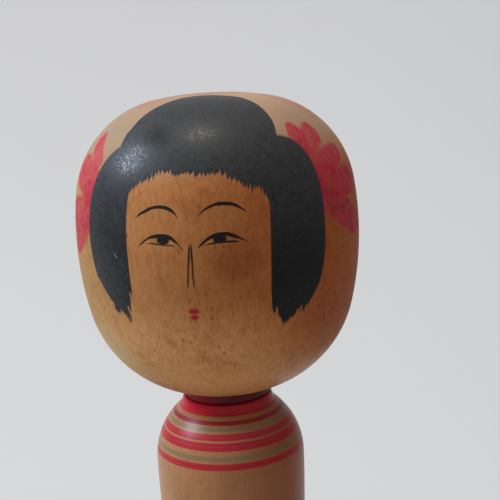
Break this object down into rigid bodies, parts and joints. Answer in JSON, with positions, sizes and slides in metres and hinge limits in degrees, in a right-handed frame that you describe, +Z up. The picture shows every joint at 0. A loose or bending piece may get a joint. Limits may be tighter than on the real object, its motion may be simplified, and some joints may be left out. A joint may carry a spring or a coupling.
{
  "type": "kokeshi doll",
  "caption": "Turned wooden doll with a large rounded head that turns on a snap-in tenon in a slender body that flares to its foot.",
  "frame": {"origin": "centre of the foot, on the surface that the doll stands on", "axes": "+Z up along the turning axis; the face looks along -Y"},
  "size_m": [0.078, 0.078, 0.2419],
  "materials": {
    "head_wood": "waxed, honey brown with age, painted with black ink and red dye",
    "body_wood": "waxed, ringed with red and green dye"
  },
  "bodies": {
    "body": {"body": "body_wood"},
    "head": {"head": "head_wood"}
  },
  "joints": [
    {"name": "head_turn", "type": "hinge", "parent": "body", "child": "head", "pos_m": [0, 0, 0.157], "axis": [0, 0, 1], "continuous": true}
  ]
}
